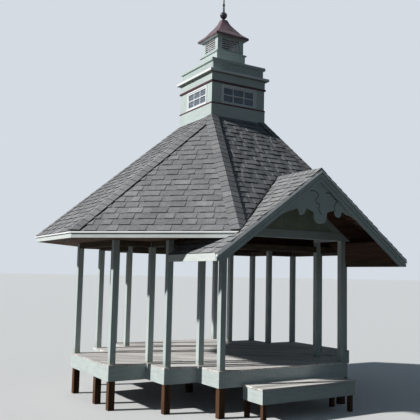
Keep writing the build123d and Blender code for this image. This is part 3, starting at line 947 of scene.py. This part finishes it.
# Half the roof's width and its height over the lantern's walls, from the eave to the finial
curve = smooth_profile(
    [
        (0.386, 0.014), (0.330, 0.058), (0.268, 0.114), (0.200, 0.203), (0.146, 0.272), (0.100, 0.342),
        (0.070, 0.410), (0.058, 0.440),
    ],
    4,
)
bpy.ops.object.select_all(action="DESELECT")
bpy.ops.mesh.primitive_plane_add(size=2 * LANTERN_EAVE, location=(0, 0, LANTERN_TOP - LANTERN_DROP))
spire_roof = bpy.context.object
spire_roof.name = "lantern_spire_roof"
bpy.ops.object.transform_apply(location=True, rotation=False, scale=False)
edit(spire_roof)
bpy.ops.mesh.select_all(action="SELECT")
size, rise = LANTERN_EAVE, -LANTERN_DROP
for half_size, height in curve:
    bpy.ops.mesh.extrude_region_move(TRANSFORM_OT_translate={"value": (0, 0, height - rise)})
    share = half_size / size
    bpy.ops.transform.resize(value=(share, share, 1), center_override=(0, 0, LANTERN_TOP + height))
    size, rise = half_size, height
bpy.ops.mesh.select_all(action="SELECT")
bpy.ops.mesh.normals_make_consistent(inside=False)
done()
eased(spire_roof, 0.003, 2, 60)
only(spire_roof)
bpy.ops.object.shade_smooth_by_angle(angle=math.radians(35))
shown(spire_roof, metal_roof, "maroon_metal", "lantern_roof")

# Louvres of the lantern, and the flashing in the valleys and round the cupola's foot

FIRST_SLAT = 0.42
VALLEY_HALF, VALLEY_BELOW, VALLEY_ABOVE = 0.013, 0.010, 0.018
FLASHING_THICK, FLASHING_BELOW, FLASHING_ABOVE = 0.013, 0.010, 0.026
slat_corner = Vector((LOUVRE_X, SLAT_DEPTH / 2, SLAT_THICK / 2))
slat = cube("slat", -slat_corner, slat_corner)
eased(slat, 0.0015, 1)
slat.data.transform(Matrix.Rotation(math.radians(SLAT_TILT), 4, "X"))
parts = []
for turn in range(4):
    for i in range(SLATS):
        piece = twin(slat)
        z = LOUVRE_LOW + (LOUVRE_HIGH - LOUVRE_LOW) * (i + FIRST_SLAT) / SLATS
        piece.data.transform(quarter_turn(turn) @ Matrix.Translation((0, SLAT_SEAT - LANTERN, z)))
        parts.append(piece)
bpy.data.objects.remove(slat)
# The slats take the pale trim paint, lighter than the walls: painted light for the sky their faces catch.
shown(joined("lantern_louvre_slats", parts), pale_trim, "sage_paint", "lantern_louvres")

# Near-black strips in the valleys: flashing, its dark colour painted shade along each valley.
parts = []
for side in (-1, 1):
    slope = gable_slopes[side]
    head = Vector((0, -VALLEY_HEAD_Y, RIDGE_Z))
    low_end = Vector((side * VALLEY_FOOT_X, -EAVE_Y, EAVE_Z))
    out = (slopes[0].out + slope.out).normalized()
    strip_end = ((head - low_end).length, VALLEY_HALF, VALLEY_ABOVE)
    strip = cube("valley", (0, -VALLEY_HALF, -VALLEY_BELOW), strip_end)
    eased(strip, 0.003, 1)
    strip.data.transform(placed(low_end, head - low_end, out.cross(head - low_end)))
    parts.append(strip)
shown(joined("gable_valley_flashing", parts), flashing_and_shade, "grey_shingles")

foot_low = (-CUPOLA_X, -CUPOLA_Y, ROOF_Z - FLASHING_BELOW)
foot = cube("foot", foot_low, (CUPOLA_X, CUPOLA_Y, ROOF_Z + FLASHING_ABOVE))
edit(foot)
pick(lambda spot, facing: abs(facing.z) < 0.5)
bpy.ops.mesh.select_all(action="INVERT")
bpy.ops.mesh.delete(type="FACE")
done()
modified(foot, "SOLIDIFY", thickness=FLASHING_THICK, offset=1)
foot.name = foot.data.name = "cupola_foot_flashing"
shown(eased(foot, 0.002, 1), flashing_and_shade, "grey_shingles")

# Face boards on the gable's rakes, under the moulding

# Each board's side, and its upper and lower edge, measured straight down from the roof's upper face
slant = math.hypot(1, GABLE_PITCH)
parts = []
for side, top, low in ((-1, 0.074, 0.152), (-1, 0.160, 0.222), (1, 0.083, 0.146), (1, 0.168, 0.222)):
    near, far = sorted((0, -side * FACE_THICK))
    reach = GABLE_X * slant + RAKE_SPARE
    board = cube("rake_face", (-RAKE_SPARE, near, -low / slant), (reach, far, -top / slant))
    eased(board, 0.003)
    board.data.transform(placed((0, RAKE_Y, RIDGE_Z), (side, 0, -GABLE_PITCH), (0, side, 0)))
    aside = Vector((side, 0, 0))
    ends = [(Vector(), -aside), (aside * (GABLE_X - 0.002), aside)]
    ends.append((Vector((0, 0, RAKE_FOOT)), Vector((0, 0, -1))))
    parts.append(clipped(board, ends))
shown(joined("gable_rake_face_boards", parts), sage_upright, "sage_paint")

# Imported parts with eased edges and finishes

for part, finish, width in [
    ("west_posts", sage_posts, 0.004), ("east_posts", sage_posts, 0.004), ("back_posts", sage_posts, 0.004),
    ("corner_posts", sage_posts, 0.004), ("entrance_posts", sage_posts, 0.004),
    ("entrance_tie_beam", sage_level, 0.004), ("entrance_side_beams", sage_level, 0.003),
    ("deck_skirt", sage_skirt, 0.003), ("step_box", sage_skirt, 0.003),
    ("eave_fascia", fascia_paint_painted_light, 0.002), ("gable_eave_fascia", fascia_paint_painted_light, 0.002),
    ("gable_rake_boards", sage_upright, 0.003), ("gable_ornament", sage_upright, 0.003),
    ("pediment_side_boards", sage_upright, 0.003), ("cupola_walls", sage_upright, 0.002),
    ("cupola_base_boards", sage_level, 0.002), ("cupola_frieze", sage_level, 0.002),
    ("cupola_cornice", sage_level, 0.004), ("parapet_walls", sage_upright, 0.002),
    ("parapet_cap", sage_level, 0.004), ("lantern_plinth", sage_upright, 0.003),
    ("lantern_ledge", sage_level, 0.003), ("lantern_walls", sage_upright, 0.003),
    ("lantern_crown", sage_level, 0.004),
]:
    dressed(part, part + "_painted", finish, "sage_paint", width)
# The rake moulding's pale paint is partly trim colour and partly painted light, for the sky its tilted face
# catches.
for part, finish, width in [
    ("eave_drip_edge", pale_trim, 0.001), ("gable_rake_mould", pale_trim, 0.003),
    ("window_casings", pale_sash, 0.002),
]:
    dressed(part, part + "_painted", finish, "pale_paint", width)
dressed("cupola_maroon_bands", "cupola_bands_painted", maroon, "maroon_paint", 0.003)
# The ring beam's dark brown is partly painted shade.
dressed("ring_beam", "ring_beam_stained_and_shaded", brown_beams_shaded, "brown_boards", 0.004)
dressed("ground_posts", "ground_posts_stained", brown_posts, "brown_piers", 0.004)
dressed("step_legs", "step_legs_stained", brown_posts, "brown_piers", 0.003)
dressed("deck_joists", "deck_joists_sawn", timber, "deck_timber", 0.002)
dressed("deck_beams", "deck_beams_sawn", timber, "deck_timber", 0.002)
dressed("window_glass", "window_panes_clear", glass, "window_pane", 0)
dressed("finial_ball", "finial_ball_cast", bronze, "dark_bronze", 0, 35)
dressed("finial_spire", "finial_spire_cast", bronze, "dark_bronze", 0, 35)

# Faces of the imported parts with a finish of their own


def recoated(name, finish, test):
    """Gives those faces of a finished piece that pass a test another finish."""
    edit(bpy.data.objects[name])
    pick(test)
    coat(finish)
    done()


def past_walls(spot, half_x, half_y):
    """How far a place stands out from a square tower's walls."""
    return max(abs(spot.x) - half_x, abs(spot.y) - half_y)


# The gable fascias' inner faces take the dark beam brown: bare wood, darkened as painted shade.
recoated("gable_eave_fascia_painted", brown_beams_shaded, lambda spot, facing: facing.x * spot.x < -0.5)
# The right rake board's front, seen only in the gaps between the face boards, is near-black: painted shade
# in those gaps.
recoated("gable_rake_boards_painted", flashing_and_shade, lambda spot, facing: facing.y < -0.7 and spot.x > 0)
# The cornice's undersides, and the crown's undersides but for those facing the key light, take the darker
# sage: painted shade.
recoated("cupola_cornice_painted", sage_shaded, lambda spot, facing: facing.z < -0.3)
recoated("lantern_crown_painted", sage_shaded, lambda spot, facing: facing.z < -0.2 and facing.x > -0.3)

# Carved lines of the ornament


def groove(paths, radius):
    """A round-bottomed cutter along smoothed paths."""
    bpy.ops.object.select_all(action="DESELECT")
    bpy.ops.curve.primitive_nurbs_path_add()
    piece = bpy.context.object
    piece.data.splines.clear()
    for path in paths:
        line = piece.data.splines.new("POLY")
        line.points.add(len(path) - 1)
        for point, place in zip(line.points, path):
            point.co = (*place, 1)
    piece.data.bevel_depth = radius
    piece.data.bevel_resolution = 1
    piece.data.use_fill_caps = True
    bpy.ops.object.convert(target="MESH")
    # The cut faces take the near-black finish: painted shade in the grooves.
    piece.data.materials.append(flashing_and_shade)
    return piece


def carved(piece, cutter):
    """The piece with the cutter's shape taken out of it."""
    values = {"operation": "DIFFERENCE", "object": cutter, "solver": "EXACT", "material_mode": "TRANSFER"}
    modified(piece, "BOOLEAN", **values)
    bpy.data.objects.remove(cutter)


# The scrolls' paths, left to right and upwards, in metres
GROOVE_RADIUS, GROOVE_CENTRE = 0.0095, 0.006
scrolls = [
    [
        (-0.196, 3.597), (-0.149, 3.608), (-0.098, 3.601), (-0.052, 3.574), (-0.027, 3.537),
        (-0.043, 3.500), (-0.072, 3.475), (-0.076, 3.443), (-0.051, 3.412), (-0.005, 3.398),
        (0.007, 3.372), (-0.015, 3.341), (-0.017, 3.312), (0.008, 3.278), (0.033, 3.237),
    ],
    [(0.123, 3.583), (0.170, 3.596), (0.217, 3.590), (0.259, 3.561), (0.311, 3.513), (0.380, 3.472)],
    [(0.367, 3.464), (0.337, 3.435), (0.318, 3.391), (0.314, 3.345), (0.324, 3.303)],
]
curls = [[(x, ORNAMENT_Y + GROOVE_CENTRE, z) for x, z in smooth_profile(path, 3)] for path in scrolls]
carved(bpy.data.objects["gable_ornament_painted"], groove(curls, GROOVE_RADIUS))

# Small changes of form to finished pieces


def moved(name, test, way):
    """Moves those points of a finished piece that pass a test."""
    edit(bpy.data.objects[name])
    pick(test, "VERT")
    bpy.ops.transform.translate(value=way)
    done()


def widened(name, test, factor):
    """Spreads those points of a finished piece that pass a test, from the gazebo's middle outwards."""
    edit(bpy.data.objects[name])
    pick(test, "VERT")
    bpy.ops.transform.resize(value=(factor, factor, 1), center_override=(0, 0, 0))
    done()


def past_corner_eaves(spot):
    """How far a place stands out past the eaves of the four corner faces."""
    return max((spot - slope.eave[0]).dot(slope.eave[1]) for slope in slopes[1::2])


CASING_FACE, CASING_SUNK, DRIP_DEPTH = 0.020, 0.023, 0.035
BAND_WIDER, DRIP_WIDER = 1.010, 1.0036
for side in (-1, 1):
    moved(
        "window_casings_painted",
        lambda spot, facing: spot.x * side > CUPOLA_X + CASING_FACE,
        (-side * CASING_SUNK, 0, 0),
    )
widened(
    "cupola_bands_painted",
    lambda spot, facing: spot.z > PANE_HIGH and past_walls(spot, CUPOLA_X, CUPOLA_Y) > 0.008,
    BAND_WIDER,
)
widened(
    "eave_drip_edge_painted",
    lambda spot, facing: spot.z < EAVE_Z - DRIP_DEPTH and past_corner_eaves(spot) > 0.003,
    DRIP_WIDER,
)


def under_rake(spot):
    """How far down from the roof's upper face a place on the moulding's front is, or None behind it."""
    if spot.y < 0.004 - GABLE_Y:
        return RIDGE_Z - GABLE_PITCH * abs(spot.x) - spot.z
    return None


def tilted_moulding(low, high, out):
    """Moves a level of the rake moulding's front in or out."""

    def at_level(spot, facing):
        depth = under_rake(spot)
        return depth is not None and low < depth < high

    moved("gable_rake_mould_painted", at_level, (0, -out, 0))


tilted_moulding(low=0.050, high=0.080, out=0.0105)
tilted_moulding(low=-0.005, high=0.028, out=-0.005)


def lowered_lip(part, half_x, half_y, reach, low, high, drop):
    """Lowers the outer lip of a cornice or crown, its levels measured from the piece's foot."""
    foot = least(part, "z")
    moved(
        part + "_painted",
        lambda spot, facing: foot + low < spot.z < foot + high and past_walls(spot, half_x, half_y) > reach,
        (0, 0, -drop),
    )


lowered_lip("cupola_cornice", CUPOLA_X, CUPOLA_Y, reach=0.050, low=0.016, high=0.034, drop=0.016)
lowered_lip("lantern_crown", LANTERN, LANTERN, reach=0.044, low=0.030, high=0.0445, drop=0.026)
# The cornice's outer upright faces take the pale trim paint: painted light on the lip that catches the sky.
recoated(
    "cupola_cornice_painted",
    pale_trim,
    lambda spot, facing: abs(facing.z) < 0.3 and past_walls(spot, CUPOLA_X, CUPOLA_Y) > 0.050,
)

# Floor, light and camera


def pale_when_seen(nodes, rays, hidden, shown_colour):
    """One colour for the light that reaches the gazebo, and a paler one for these kinds of seeing ray."""
    path = node(nodes, "ShaderNodeLightPath")
    seen = path.outputs[rays[0]]
    for ray in rays[1:]:
        inputs = {0: seen, 1: path.outputs[ray]}
        seen = node(nodes, "ShaderNodeMath", inputs, operation="ADD", use_clamp=True).outputs[0]
    mix = node(nodes, "ShaderNodeMix", {"Factor": seen}, data_type="RGBA")
    mix.inputs["A"].default_value = rgba(hidden)
    mix.inputs["B"].default_value = rgba(shown_colour)
    return mix.outputs["Result"]


bpy.ops.object.select_all(action="DESELECT")
bpy.ops.mesh.primitive_plane_add(size=2000, location=(0, 0, -0.001))
floor = bpy.context.object
floor.name = "studio_floor"
floor_paint, floor_nodes, floor_shader = material("studio_floor", Roughness=0.9)
floor_tint = pale_when_seen(
    floor_nodes, ["Is Camera Ray", "Is Glossy Ray"], (0.036, 0.038, 0.034), (0.84, 0.86, 0.87)
)
floor_nodes.links.new(floor_tint, floor_shader.inputs["Base Color"])
floor.data.materials.append(floor_paint)

world = bpy.data.worlds.new("studio_air")
bpy.context.scene.world = world
world.use_nodes = True
air = world.node_tree
back = air.nodes["Background"]
seeing_rays = ["Is Camera Ray", "Is Glossy Ray", "Is Transmission Ray"]
sky_tint = pale_when_seen(air, seeing_rays, (0.054, 0.076, 0.096), (0.66, 0.71, 0.77))
air.links.new(sky_tint, back.inputs["Color"])
back.inputs["Strength"].default_value = 1

sun = bpy.data.lights.new("key_light", "SUN")
sun.energy = 3.9
sun.angle = math.radians(2)
sun.color = (1.0, 0.975, 0.94)
lamp = bpy.data.objects.new("key_light", sun)
bpy.context.collection.objects.link(lamp)
sun_from = Vector((-0.810, 0.257, 0.527))
lamp.rotation_mode = "QUATERNION"
lamp.rotation_quaternion = sun_from.to_track_quat("Z", "Y")

# The camera's turn, tilt and roll in radians, then its place, as the photo gives them
yaw, pitch, roll = 0.5691, 0.1026, 0.0175
ahead = Vector((math.sin(yaw) * math.cos(pitch), math.cos(yaw) * math.cos(pitch), math.sin(pitch)))
flat_right = Vector((math.cos(yaw), -math.sin(yaw), 0))
flat_up = flat_right.cross(ahead)
right = flat_right * math.cos(roll) + flat_up * math.sin(roll)
up = flat_up * math.cos(roll) - flat_right * math.sin(roll)
view = bpy.data.cameras.new("view")
view.sensor_width = 36
view.lens = 54.97
view.shift_x = -0.0718
view.clip_end = 1000
camera = bpy.data.objects.new("view", view)
bpy.context.collection.objects.link(camera)
turn = Matrix((right, up, -ahead)).transposed().to_4x4()
turn.translation = Vector((-6.60387, -11.09514, 2.22569))
camera.matrix_world = turn
bpy.context.scene.camera = camera
bpy.context.scene.view_settings.view_transform = "Standard"
